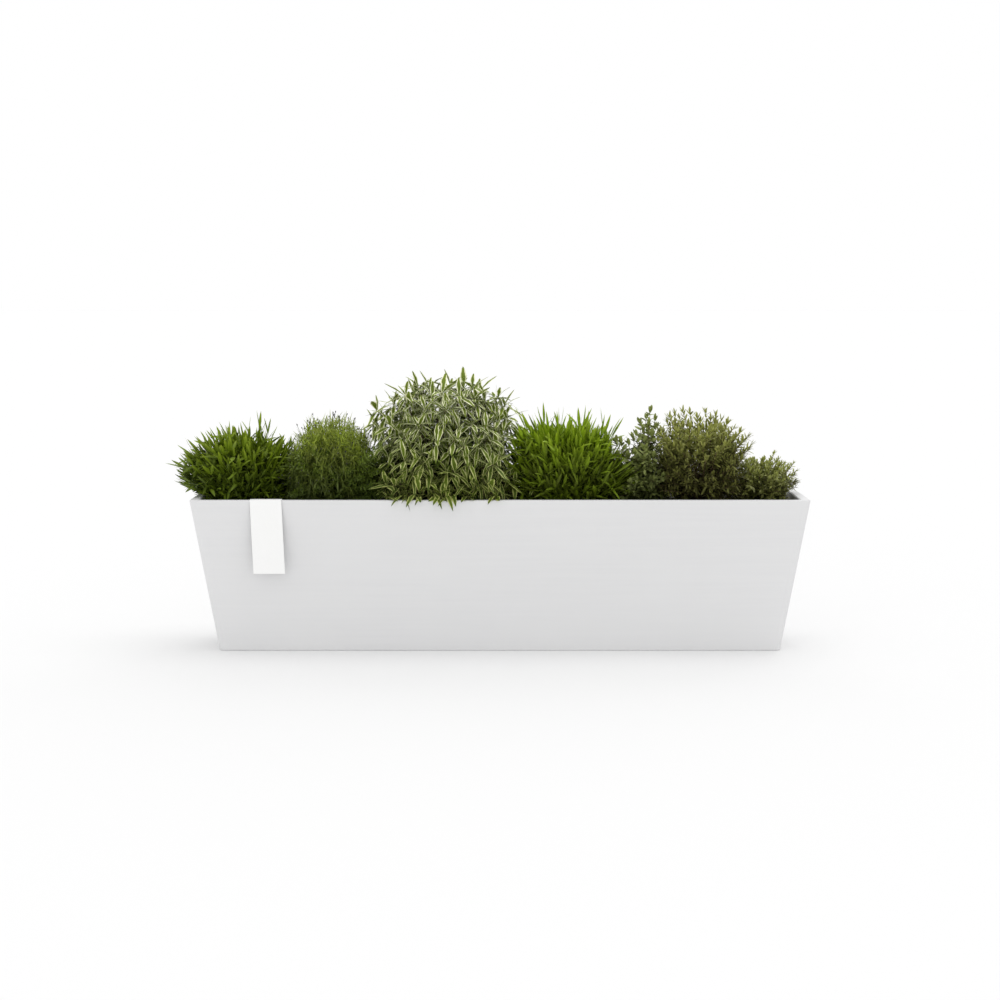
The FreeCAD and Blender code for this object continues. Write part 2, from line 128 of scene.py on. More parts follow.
class Shader:
    """A material that is written as expressions and ends in one Principled BSDF."""

    def __init__(self, name):
        self.material = bpy.data.materials.new(name)
        self.material.use_nodes = True
        self.tree = self.material.node_tree
        self.surface = self.tree.nodes["Principled BSDF"]

    def connect(self, socket, value):
        if isinstance(value, Value):
            self.tree.links.new(value.socket, socket)
        elif isinstance(value, tuple) and len(value) == 3 and socket.type == "RGBA":
            socket.default_value = (*value, 1)
        else:
            socket.default_value = value

    def node(self, kind, settings=None, inputs=None, output=0):
        node = self.tree.nodes.new(kind)
        for name, setting in (settings or {}).items():
            setattr(node, name, setting)
        for name, value in (inputs or {}).items():
            self.connect(node.inputs[name], value)
        return Value(self, node.outputs[output])

    def coordinates(self, scale=(1, 1, 1)):
        place = self.node("ShaderNodeTexCoord", output="Object")
        return self.node("ShaderNodeMapping", {}, {"Vector": place, "Scale": scale})

    def height(self):
        place = self.node("ShaderNodeTexCoord", output="Object")
        return self.node("ShaderNodeSeparateXYZ", {}, {"Vector": place}, "Z")

    def noise(self, size, detail, stretch=(1, 1, 1)):
        """Noise whose grains are about a size across, in metres."""
        inputs = {"Vector": self.coordinates(stretch), "Scale": 1 / size, "Detail": detail}
        return self.node("ShaderNodeTexNoise", {}, inputs)

    def crumbs(self, size):
        """The distance to the middle of the nearest crumb, for crumbs about a size across."""
        inputs = {"Vector": self.coordinates(), "Scale": 1 / size}
        return self.node("ShaderNodeTexVoronoi", {}, inputs, "Distance")

    def attribute(self, name):
        return self.node("ShaderNodeAttribute", {"attribute_name": name}, {}, "Fac")

    def between(self, value, low, high):
        """0 below low, 1 above high, and smooth between them."""
        inputs = {"Value": value, "From Min": low, "From Max": high}
        return self.node("ShaderNodeMapRange", {"interpolation_type": "SMOOTHSTEP"}, inputs)

    def mix(self, factor, first, second):
        return self.node("ShaderNodeMix", {"data_type": "RGBA"}, {0: factor, 6: first, 7: second}, 2)

    def bump(self, height, distance, strength):
        inputs = {"Height": height, "Distance": distance, "Strength": strength}
        return self.node("ShaderNodeBump", {}, inputs)

    def finish(self, **sockets):
        for name, value in sockets.items():
            self.connect(self.surface.inputs[name.replace("_", " ")], value)
        return self.material


# Modelling by hand in edit mode
def start_ring(sides):
    """Start a form on a flat ring of corners, one unit across."""
    bpy.ops.object.select_all(action="DESELECT")
    bpy.ops.mesh.primitive_circle_add(vertices=sides, radius=0.5, fill_type="NGON")
    bpy.ops.object.mode_set(mode="EDIT")
    bpy.ops.mesh.select_all(action="SELECT")


def extrude_to(rise):
    bpy.ops.mesh.extrude_region_move(TRANSFORM_OT_translate={"value": (0, 0, rise)})


def draw_out(stations):
    """Scale the ring to its first station and extrude it to the others. Gives the last one's place.

    A station is a share of the length and a share of the width.
    """
    place, width = stations[0]
    bpy.ops.transform.resize(value=(width, width, 1), center_override=(0, 0, 0))
    for next_place, next_width in stations[1:]:
        extrude_to(next_place - place)
        grow = next_width / width
        bpy.ops.transform.resize(value=(grow, grow, 1), center_override=(0, 0, next_place))
        place, width = next_place, next_width
    return place


def end_form():
    bpy.ops.mesh.select_all(action="SELECT")
    bpy.ops.mesh.normals_make_consistent(inside=False)
    bpy.ops.object.mode_set(mode="OBJECT")
    return Form(bpy.context.object)


class Form:
    """The shape of one leaf or stalk, one unit long and one unit wide, read from a modelled mesh."""

    def __init__(self, obj):
        self.corners = np.array([tuple(vertex.co) for vertex in obj.data.vertices])
        self.faces = [tuple(face.vertices) for face in obj.data.polygons]
        self.along = self.corners[:, 2]
        self.across = np.sign(self.corners[:, 0].round(4))
        bpy.data.objects.remove(obj, do_unlink=True)


def model_leaf(stations, thickness, crease):
    """A leaf on a ring of four corners, drawn out to a point. The crease folds it along its middle."""
    start_ring(sides=4)
    bpy.ops.transform.resize(value=(1, thickness, 1), center_override=(0, 0, 0))
    bpy.ops.object.mode_set(mode="OBJECT")
    for vertex in bpy.context.object.data.vertices:
        vertex.select = abs(vertex.co.x) < 0.1
    bpy.ops.object.mode_set(mode="EDIT")
    bpy.ops.transform.translate(value=(0, -crease, 0))
    bpy.ops.mesh.select_all(action="SELECT")
    extrude_to(1 - draw_out(stations))
    bpy.ops.mesh.merge(type="CENTER")
    return end_form()


def model_bud(sides, stations):
    """A round body: a seed, a crumb of soil or a root ball."""
    start_ring(sides)
    draw_out(stations)
    return end_form()


FORMS = {
    "blade": model_leaf([(0, 0.28), (0.16, 0.72), (0.45, 1.0), (0.78, 0.60)], thickness=0.10, crease=0.16),
    "needle": model_leaf([(0, 0.5), (0.5, 1.0)], thickness=0.5, crease=0.0),
    "lance": model_leaf([(0, 0.12), (0.24, 0.60), (0.50, 1.0), (0.82, 0.58)], thickness=0.06, crease=0.13),
    "oval": model_leaf(
        [(0, 0.14), (0.14, 0.62), (0.38, 1.0), (0.66, 0.92), (0.88, 0.50)], thickness=0.09, crease=0.12
    ),
    "leaflet": model_leaf([(0, 0.25), (0.35, 1.0), (0.76, 0.80)], thickness=0.16, crease=0.10),
    "scale_leaf": model_leaf([(0, 0.25), (0.38, 1.0), (0.78, 0.72)], thickness=0.16, crease=0.10),
    "bud": model_bud(sides=5, stations=[(0, 0.3), (0.3, 1.0), (0.7, 0.8), (1, 0.2)]),
    "crumb": model_bud(sides=5, stations=[(0, 0.5), (0.4, 1.0), (0.9, 0.6)]),
    "root_plug": model_bud(
        sides=28, stations=[(0, 0.70), (0.02, 0.76), (0.25, 0.82), (0.5, 0.88), (0.75, 0.94), (0.97, 1.0), (1, 0.95)]
    ),
}


def dress(obj, name, material, body, slot, *nodes):
    """Name a finished piece, give it its material and let it ride on its body in place of CAD nodes."""
    obj.name = name
    obj.data.name = name
    obj.data.materials.clear()
    obj.data.materials.append(material)
    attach(obj, body)
    if nodes:
        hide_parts(*nodes)


def paint(node, material):
    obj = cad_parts[node]
    obj.data.materials.clear()
    obj.data.materials.append(material)


# Directions and places
def unit(vectors):
    vectors = np.asarray(vectors, float)
    return vectors / np.maximum(np.linalg.norm(vectors, axis=-1, keepdims=True), 1e-9)


def sideways(direction):
    """A level unit vector at right angles to a direction."""
    side = np.cross(direction, UP)
    if np.linalg.norm(side) < 1e-3:
        side = np.array((1.0, 0.0, 0.0))
    return unit(side)


def leaning(axis, opening, turn):
    """A direction that opens away from an axis by an angle, on the side that the turn gives."""
    side = sideways(axis)
    other = np.cross(axis, side)
    return math.cos(opening) * axis + math.sin(opening) * (math.cos(turn) * side + math.sin(turn) * other)


def at_pixel(x, y, depth):
    """The point of the object that the photograph shows at a pixel, at a depth behind the trough's middle."""
    forward = np.array((0, math.cos(CAMERA_PITCH), -math.sin(CAMERA_PITCH)))
    upward = np.array((0, math.sin(CAMERA_PITCH), math.cos(CAMERA_PITCH)))
    across = (x - PHOTO_SIDE / 2) / FOCAL_PIXELS
    above = (PHOTO_SIDE / 2 - y) / FOCAL_PIXELS
    ray = forward + across * np.array((1, 0, 0)) + above * upward
    start = np.array(CAMERA_PLACE)
    return start + ray * (depth - start[1]) / ray[1]


def bowed(foot, head, bow, steps):
    """Points from a foot to a head, on a line that rises first and then leans out."""
    middle = (foot + head) / 2 + bow * UP * np.linalg.norm(head - foot)
    shares = np.linspace(0, 1, steps)[:, None]
    return (1 - shares) ** 2 * foot + 2 * shares * (1 - shares) * middle + shares ** 2 * head


def along_path(path, share):
    """The place and the direction at a share of the way along a path."""
    index = share * (len(path) - 1)
    before = min(int(index), len(path) - 2)
    step = path[before + 1] - path[before]
    return path[before] + step * (index - before), unit(step)


def clears_trough(place):
    """Whether a place is in the trough's opening or above its rim, and not too far in front or behind."""
    inside = abs(place[0]) < TROUGH_END - WALL_ROOM and abs(place[1]) < -TROUGH_FRONT - WALL_ROOM
    return (inside and place[2] > SOIL_TOP) or (place[2] > RIM + RIM_ROOM and abs(place[1]) < FARTHEST)


def root_ball(plant):
    """The middle of a root ball along the trough, its two heights and its radius."""
    low, high = (np.array(corner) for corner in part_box(f"{plant}_root_ball"))
    return (low[0] + high[0]) / 2, low[2], high[2], (high[0] - low[0]) / 2


# Leaves, stems and roots
class Copies:
    """Many copies of forms. Each has its own place, size, bend and tint."""

    def __init__(self, name, seed):
        self.name = name
        self.random = np.random.default_rng(seed)
        self.leaves = {}
        self.stems = []
        self.neighbours = []

    def between(self, low, high):
        return low + (high - low) * self.random.random()

    def fits(self, place):
        """Whether a place clears the trough and the way that the other plants' root balls are lifted out."""
        clear = all(math.hypot(place[0] - across, place[1]) > reach for across, reach in self.neighbours)
        return clear and clears_trough(place)

    def leaf(self, form, foot, direction, length, width, droop=0.0, roll=0.0, tint=None, over_rim=False):
        """Add a leaf if there is room for it. A leaf that hangs over the rim brings its own room."""
        tint = self.random.random() if tint is None else tint
        direction = unit(direction)
        line = [foot + length * (share * direction - droop * share ** 2 * UP) for share in (0.5, 1)]
        if over_rim or all(self.fits(place) for place in line):
            self.leaves.setdefault(form, []).append((*foot, *direction, length, width, droop, roll, tint))

    def stem(self, points, radius, tip_share):
        """Add a stem if there is room for it, and say whether there is."""
        fits = all(self.fits(place) for place in points)
        if fits:
            self.stems.append((points, radius, tip_share))
        return fits

    def leaf_mesh(self, forms, name):
        """One mesh of all the copies of some forms. Its attributes carry each leaf's tint, and each corner's share
        along its leaf and side of its middle.
        """
        corners, faces, tints, along, across = [], [], [], [], []
        count = 0
        for form_name in forms:
            form = FORMS[form_name]
            rows = np.array(self.leaves[form_name])
            foot, direction = rows[:, None, 0:3], rows[:, None, 3:6]
            length, width, droop, roll, tint = (rows[:, None, None, column] for column in range(6, 11))
            side = np.cross(direction, UP)
            level = np.linalg.norm(side, axis=-1, keepdims=True)
            side = np.where(level > 1e-3, side / np.maximum(level, 1e-6), np.array((1.0, 0.0, 0.0)))
            share = form.along[None, :, None]
            tangent = unit(direction - 2 * droop * share * UP)
            side = unit(side * np.cos(roll) + np.cross(direction, side) * np.sin(roll))
            normal = unit(np.cross(tangent, side))
            line = foot + length * (share * direction - droop * share ** 2 * UP)
            shape = line + width * (form.corners[None, :, 0:1] * side + form.corners[None, :, 1:2] * normal)
            corners.append(shape.reshape(-1, 3))
            for copy in range(len(rows)):
                start = count + copy * len(form.corners)
                faces += [tuple(start + corner for corner in face) for face in form.faces]
            count += len(rows) * len(form.corners)
            tints.append(np.repeat(tint.ravel(), len(form.corners)))
            along.append(np.tile(form.along, len(rows)))
            across.append(np.tile(form.across, len(rows)))
        obj = self.mesh_object(name, np.concatenate(corners).tolist(), faces)
        for title, values in (("tint", tints), ("along", along), ("across", across)):
            attribute = obj.data.attributes.new(title, "FLOAT", "POINT")
            attribute.data.foreach_set("value", np.concatenate(values).astype(np.float32))
        return obj

    def mesh_object(self, name, corners, faces):
        mesh = bpy.data.meshes.new(name)
        mesh.from_pydata(corners, [], faces)
        obj = bpy.data.objects.new(name, mesh)
        scene.collection.objects.link(obj)
        return obj

    def stem_mesh(self, name, stems):
        """One mesh of thin round stems, each with its points, its radius and the share of it at the tip."""
        curve = bpy.data.curves.new(name, "CURVE")
        curve.dimensions = "3D"
        curve.bevel_depth = 1.0
        curve.bevel_resolution = 0
        curve.use_fill_caps = True
        for points, radius, tip_share in stems:
            spline = curve.splines.new("POLY")
            spline.points.add(len(points) - 1)
            radii = radius * np.linspace(1, tip_share, len(points))
            spline.points.foreach_set("co", np.column_stack((points, np.ones(len(points)))).ravel())
            spline.points.foreach_set("radius", radii)
        obj = bpy.data.objects.new(name, curve)
        scene.collection.objects.link(obj)
        bpy.ops.object.select_all(action="DESELECT")
        obj.select_set(True)
        bpy.context.view_layer.objects.active = obj
        bpy.ops.object.convert(target="MESH")
        return bpy.context.object


class Plant(Copies):
    """The leaves, stems and root ball of one plant."""

    def __init__(self, name, seed):
        super().__init__(name, seed)
        self.low, self.high = (np.array(corner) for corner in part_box(f"{name}_foliage"))
        self.middle = (self.low + self.high) / 2
        across, self.root_low, self.root_high, self.root_radius = root_ball(name)
        self.foot = np.array((across, 0.0, self.root_high))
        for other in PLANTS:
            if other != name:
                across, _, _, radius = root_ball(other)
                self.neighbours.append((across, radius + BALL_ROOM))

    def build(self, pieces, stem_name, stem_material, stem_slot, stem_node):
        """Turn the plant into pieces. The first piece of leaves stands for the foliage of the model."""
        replaced = (f"{self.name}_foliage",)
        for piece, (forms, material) in pieces.items():
            leaves = self.leaf_mesh(forms, f"{self.name}_{piece}")
            dress(leaves, leaves.name, material, self.name, f"{self.name}_leaf", *replaced)
            replaced = ()
        stems = self.stem_mesh(f"{self.name}_{stem_name}", self.stems)
        dress(stems, stems.name, stem_material, self.name, stem_slot, f"{self.name}_{stem_node}")
        self.build_roots()

    def build_roots(self):
        """A lumpy root ball in place of the model's, with roots that wind down its side."""
        foot = np.array((self.foot[0], 0, self.root_low))
        radius = self.root_radius - 0.6 * MM
        height = self.root_high - self.root_low
        form = FORMS["root_plug"]
        deepest_dent = 0.05
        dents = 1 - deepest_dent * self.random.random((len(form.corners), 1)) * (1, 1, 0)
        corners = foot + form.corners * dents * (2 * radius, 2 * radius, height)
        plug = self.mesh_object(f"{self.name}_root_plug", corners.tolist(), form.faces)
        dress(plug, plug.name, root_soil, self.name, "root_soil", f"{self.name}_root_ball")
        # The roots follow the ball's taper, a little way into its side
        taper_foot, taper_rise = 0.73, 0.25
        root_gap = 0.55 * MM
        root_points = 14
        roots = []
        for _ in range(int(radius / root_gap)):
            turn = self.between(0, FULL_TURN)
            drift = self.between(-0.05, 0.05)
            points = []
            for share in np.linspace(self.between(0.5, 0.98), self.between(0.02, 0.35), root_points):
                drift += self.between(-0.018, 0.018)
                turn += drift
                out = radius * (taper_foot + taper_rise * share)
                points.append(foot + np.array((out * math.cos(turn), out * math.sin(turn), share * height)))
            roots.append((np.array(points), self.between(0.2, 0.5) * MM, 0.4))
        strands = self.stem_mesh(f"{self.name}_roots", roots)
        dress(strands, strands.name, pale_root, self.name, "root_soil")


def crown_point(plant, spread=0.6):
    """A place on top of the root ball where a stalk starts."""
    turn = plant.between(0, FULL_TURN)
    out = plant.root_radius * spread * math.sqrt(plant.random.random())
    return plant.foot + np.array((math.cos(turn), math.sin(turn), 0)) * out


def dome_point(plant, size, power, inner):
    """A point between a share of the way out to a dome and the dome itself, seen from the dome's middle.

    The higher the power, the squarer the dome.
    """
    direction = plant.random.normal(size=3)
    direction[2] = abs(direction[2])
    direction = unit(direction)
    reach = (np.abs(direction) / np.array(size)) ** power
    share = 1 - (1 - inner) * plant.random.random() ** 1.6
    return direction * share / reach.sum() ** (1 / power)


def low_point(plant, low, high):
    """A point low in the plant's stretch of the trough, between two heights over the rim in millimetres."""
    past_end = 8 * MM
    depth = 0.088
    across = plant.between(plant.low[0] - past_end, plant.high[0] + past_end)
    end = TROUGH_END - 22 * MM
    place = (np.clip(across, -end, end), plant.between(-depth, depth), plant.between(RIM + low * MM, RIM + high * MM))
    return np.array(place)


def point_in_box(plant, across, depth, above_rim):
    """A point between two places along the trough, two depths and two heights over the rim."""
    return np.array((plant.between(*across), plant.between(*depth), RIM + plant.between(*above_rim)))


def grow_culm(plant, tip, blades, length, width, opening, first, upright=0.0):
    """A stalk of a grass with blades along its upper part and one that goes on to the tip."""
    foot = crown_point(plant)
    reach = np.linalg.norm(tip - foot)
    last = min(plant.between(*length), 0.55 * reach)
    out = unit(unit(tip - foot) + upright * UP)
    path = bowed(foot, tip - out * last, bow=0.06, steps=5)
    if not plant.stem(path, radius=0.6 * MM, tip_share=0.6):
        return
    most_roll, most_droop = 0.9, 0.26
    last_width = plant.between(*width)
    plant.leaf("blade", path[-1], out, last, last_width, 0.0, plant.between(-most_roll, most_roll))
    turn = plant.between(0, FULL_TURN)
    for step in range(blades):
        place, axis = along_path(path, first + (1 - first) * (step + plant.random.random()) / blades)
        turn += math.pi + plant.between(-0.8, 0.8)
        direction = unit(leaning(axis, plant.between(*opening), turn) + upright * UP)
        size = plant.between(*length)
        droop = plant.between(0.0, most_droop)
        blade_width, roll = plant.between(*width), plant.between(-most_roll, most_roll)
        plant.leaf("blade", place, direction, size, blade_width, droop, roll)


def grow_sprig(plant, tip, form, first, gap, length, width, opening, radius):
    """A twig with pairs of leaves, each pair turned a right angle from the last, and a tuft at its tip.

    The first pair is a share of the way up. The length is in metres, the width a share of it.
    """
    foot = crown_point(plant)
    path = bowed(foot, tip, bow=0.10, steps=6)
    if not plant.stem(path, radius, tip_share=0.5):
        return
    pairs = max(2, int(np.linalg.norm(tip - foot) * (1 - first) / gap))
    turn = plant.between(0, FULL_TURN)
    for step in range(pairs):
        share = first + (1 - first) * (step + 0.5) / pairs
        place, axis = along_path(path, share)
        turn += math.pi / 2 + plant.between(-0.35, 0.35)
        size = plant.between(*length) * (1 - 0.9 * max(0, share - 0.7))
        for half in (0, math.pi):
            direction = leaning(axis, plant.between(*opening), turn + half)
            leaf_length = size * plant.between(0.85, 1.1)
            droop = plant.between(0, 0.14)
            leaf_width, roll = leaf_length * plant.between(*width), plant.between(-0.4, 0.4)
            plant.leaf(form, place, direction, leaf_length, leaf_width, droop, roll)
    axis = unit(path[-1] - path[-2])
    tuft = 4
    for step in range(tuft):
        direction = leaning(axis, plant.between(0.15, 0.6), turn + step * FULL_TURN / tuft)
        size = plant.between(*length) * 0.75
        plant.leaf(form, tip, direction, size, size * plant.between(*width), 0.0, 0.0)


def grow_rosette(plant, centre, axis, leaves, length, width, opening, tint=None):
    """A whorl of leaves at the end of a branch: upright in its middle and spreading at its edge."""
    turn = plant.between(0, FULL_TURN)
    for step in range(leaves):
        share = (step + 0.5) / leaves
        turn += GOLDEN_ANGLE + plant.between(-0.2, 0.2)
        lean = opening[0] + (opening[1] - opening[0]) * share ** 0.7 + plant.between(-0.1, 0.1)
        direction = leaning(axis, lean, turn)
        size = plant.between(*length) * (0.62 + 0.38 * math.sin(math.pi * min(1, share + 0.3)))
        foot = centre - axis * share * 9 * MM
        droop = plant.between(0.08, 0.30) + 0.30 * share
        leaf_width, roll = size * plant.between(*width), plant.between(-0.3, 0.3)
        plant.leaf("lance", foot, direction, size, leaf_width, droop, roll, tint)


def grow_branch(plant, head, leaves, length, width, outward, tint=None):
    """A branch of the shrub that leans out of its middle and ends in a rosette, with a looser one below it."""
    path = bowed(crown_point(plant, SHRUB_SPREAD), head, bow=0.16, steps=7)
    if not plant.stem(path, radius=1.1 * MM, tip_share=0.5):
        return
    axis = unit(0.5 * unit(path[-1] - path[-2]) + outward)
    grow_rosette(plant, head, axis, leaves, length, width, opening=(0.50, 1.7), tint=tint)
    place, axis = along_path(path, 0.80)
    grow_rosette(plant, place, unit(axis + outward), 5, length, width, opening=(0.9, 1.5), tint=tint)


# The plants, from left to right. Pixels are across and down in the photograph, at its full size
def make_dwarf_bamboo(leaf_material, stem_material):
    plant = Plant("dwarf_bamboo", seed=3)
    culm = partial(grow_culm, plant)
    dome_culms, right_culms, low_culms = 600, 80, 70
    # Blade tips that the photograph shows against its background
    tips = (
        (261, 411), (251, 416), (271, 418), (266, 421), (278, 425), (240, 422), (229, 420), (232, 425), (219, 422),
        (209, 427), (206, 430), (200, 431), (196, 436), (187, 439), (186, 443), (177, 445), (180, 453), (171, 460),
        (177, 471), (179, 484), (187, 489), (285, 434), (290, 441), (245, 430), (255, 432), (224, 430), (214, 434),
    )
    for x, y in tips:
        tip = at_pixel(x, y, plant.between(*GRASS_TIP_DEPTH))
        culm(tip, 5, length=(0.020, 0.034), width=(0.0036, 0.0052), opening=(0.3, 0.8), first=0.6)
    centre = np.array((plant.middle[0] + 5 * MM, -0.004, RIM - 8 * MM))
    low_rise, left_end = 14 * MM, -0.392
    for _ in range(dome_culms):
        tip = centre + dome_point(plant, size=(0.081, 0.090, 0.100), power=2.6, inner=0.80)
        if tip[2] < RIM + low_rise:
            tip[0] = max(tip[0], left_end)
        culm(tip, 6, length=(0.015, 0.028), width=(0.0034, 0.0056), opening=(0.4, 1.5), first=0.55, upright=0.15)
    # Blades towards the next plant
    for _ in range(right_culms):
        tip = point_in_box(plant, across=(-0.296, -0.268), depth=(-0.07, 0.07), above_rim=(0.010, 0.078))
        culm(tip, 5, length=(0.016, 0.028), width=(0.0034, 0.005), opening=(0.4, 1.3), first=0.5, upright=0.15)
    for _ in range(low_culms):
        tip = low_point(plant, 6, 24)
        culm(tip, 6, length=(0.018, 0.034), width=(0.0032, 0.005), opening=(0.5, 1.4), first=0.4)
    plant.build({"blades": (("blade",), leaf_material)}, "culms", stem_material, "leaf_base", "crown")


def make_grass_tuft(leaf_material, stem_material):
    plant = Plant("grass_tuft", seed=5)
    culm = partial(grow_culm, plant)
    dome_culms, top_culms, left_culms, arching_culms, low_culms = 600, 150, 60, 46, 80
    tips = (
        (515, 407), (521, 411), (528, 414), (537, 406), (543, 402), (534, 412), (546, 411), (554, 411), (559, 407),
        (564, 406), (570, 413), (578, 407), (586, 405), (589, 410), (597, 417), (600, 423), (607, 423), (615, 422),
        (522, 418), (550, 416), (583, 412), (593, 420), (611, 414), (624, 417), (626, 436), (632, 447), (516, 420),
    )
    for x, y in tips:
        tip = at_pixel(x, y, plant.between(*GRASS_TIP_DEPTH))
        culm(tip, 5, length=(0.026, 0.044), width=(0.0034, 0.0052), opening=(0.2, 0.6), first=0.6, upright=0.2)
    centre = np.array((plant.middle[0] + 3 * MM, -0.004, RIM - 8 * MM))
    for _ in range(dome_culms):
        tip = centre + dome_point(plant, size=(0.077, 0.090, 0.101), power=3.2, inner=0.78)
        culm(tip, 6, length=(0.018, 0.032), width=(0.0034, 0.0054), opening=(0.25, 1.25), first=0.50, upright=0.25)
    # The flat, close top of the tuft, and blades on its left, towards the next plant
    for _ in range(top_culms):
        tip = point_in_box(plant, across=(0.014, 0.150), depth=(-0.05, 0.05), above_rim=(0.078, 0.096))
        culm(tip, 6, length=(0.014, 0.024), width=(0.0036, 0.0054), opening=(0.3, 1.1), first=0.7, upright=0.25)
    for _ in range(left_culms):
        tip = point_in_box(plant, across=(0.002, 0.026), depth=(-0.07, 0.07), above_rim=(0.014, 0.084))
        culm(tip, 6, length=(0.016, 0.030), width=(0.0034, 0.0052), opening=(0.3, 1.2), first=0.5, upright=0.2)
    # Blades that arch to the right, over the next plant
    for _ in range(arching_culms):
        tip = point_in_box(plant, across=(0.140, 0.190), depth=(-0.094, -0.040), above_rim=(0.006, 0.052))
        culm(tip, 5, length=(0.028, 0.050), width=(0.0036, 0.0054), opening=(0.3, 0.9), first=0.5, upright=0.1)
    for _ in range(low_culms):
        tip = low_point(plant, 6, 24)
        culm(tip, 6, length=(0.022, 0.040), width=(0.003, 0.005), opening=(0.5, 1.3), first=0.4)
    plant.build({"blades": (("blade",), leaf_material)}, "culms", stem_material, "leaf_base", "crown")


def make_feathery_herb(frond_material, sprig_material, stem_material):
    plant = Plant("feathery_herb", seed=7)
    sprig = partial(grow_sprig, plant, form="leaflet")
    fronds, needles, sprigs = 1050, 12, 250
    flowering_share = 0.16
    centre = np.array((plant.middle[0] + 2 * MM, 0, RIM - 6 * MM))
    for _ in range(fronds):
        head = centre + dome_point(plant, size=(0.061, 0.090, 0.106), power=2.5, inner=0.89)
        path = bowed(crown_point(plant), head, bow=0.05, steps=4)
        if not plant.stem(path, radius=0.3 * MM, tip_share=0.6):
            continue
        out = unit(path[-1] - path[-2])
        for _ in range(needles):
            place = head - out * plant.between(0, 0.030)
            direction = leaning(out, plant.between(0.4, 2.0), plant.between(0, FULL_TURN))
            size = plant.between(0.007, 0.015)
            plant.leaf("needle", place, direction, size, plant.between(0.0010, 0.0016), plant.between(-0.6, 0.7))
        if plant.random.random() < flowering_share:
            top = head + leaning(out, plant.between(0, 0.5), plant.between(0, 6.3)) * plant.between(0.004, 0.014)
            plant.stem(np.array((head, top)), radius=0.25 * MM, tip_share=1.0)
            plant.leaf("bud", top, out, length=0.0028, width=0.0016, tint=BUD_TINT)
    # Leafy sprigs low in the plant, every fourth of them towards the next plant
    for step in range(sprigs):
        tip = low_point(plant, 2, 60)
        tip[0] += plant.between(-6, 26) * MM
        if step % 4 == 0:
            tip[0] = plant.between(-0.172, -0.136)
        sprig(
            tip, first=0.45, gap=0.0036, length=(0.007, 0.011), width=(0.22, 0.32), opening=(0.7, 1.2), radius=0.5 * MM
        )
    # Ends of the leafy sprigs near the front rim
    sprig_tips = (
        (345, 488), (362, 478), (352, 470), (372, 486), (300, 488), (318, 484), (334, 476), (368, 492), (378, 470),
        (384, 482), (376, 456), (388, 494), (366, 462), (356, 490), (380, 446), (340, 494),
    )
    for x, y in sprig_tips:
        tip = at_pixel(x, y, plant.between(-0.090, -0.075))
        sprig(
            tip, first=0.35, gap=0.0032, length=(0.008, 0.012), width=(0.16, 0.22), opening=(0.7, 1.1), radius=0.6 * MM
        )
    pieces = {"fronds": (("needle", "bud"), frond_material), "sprigs": (("leaflet",), sprig_material)}
    plant.build(pieces, "stalks", stem_material, "leaf_base", "crown")


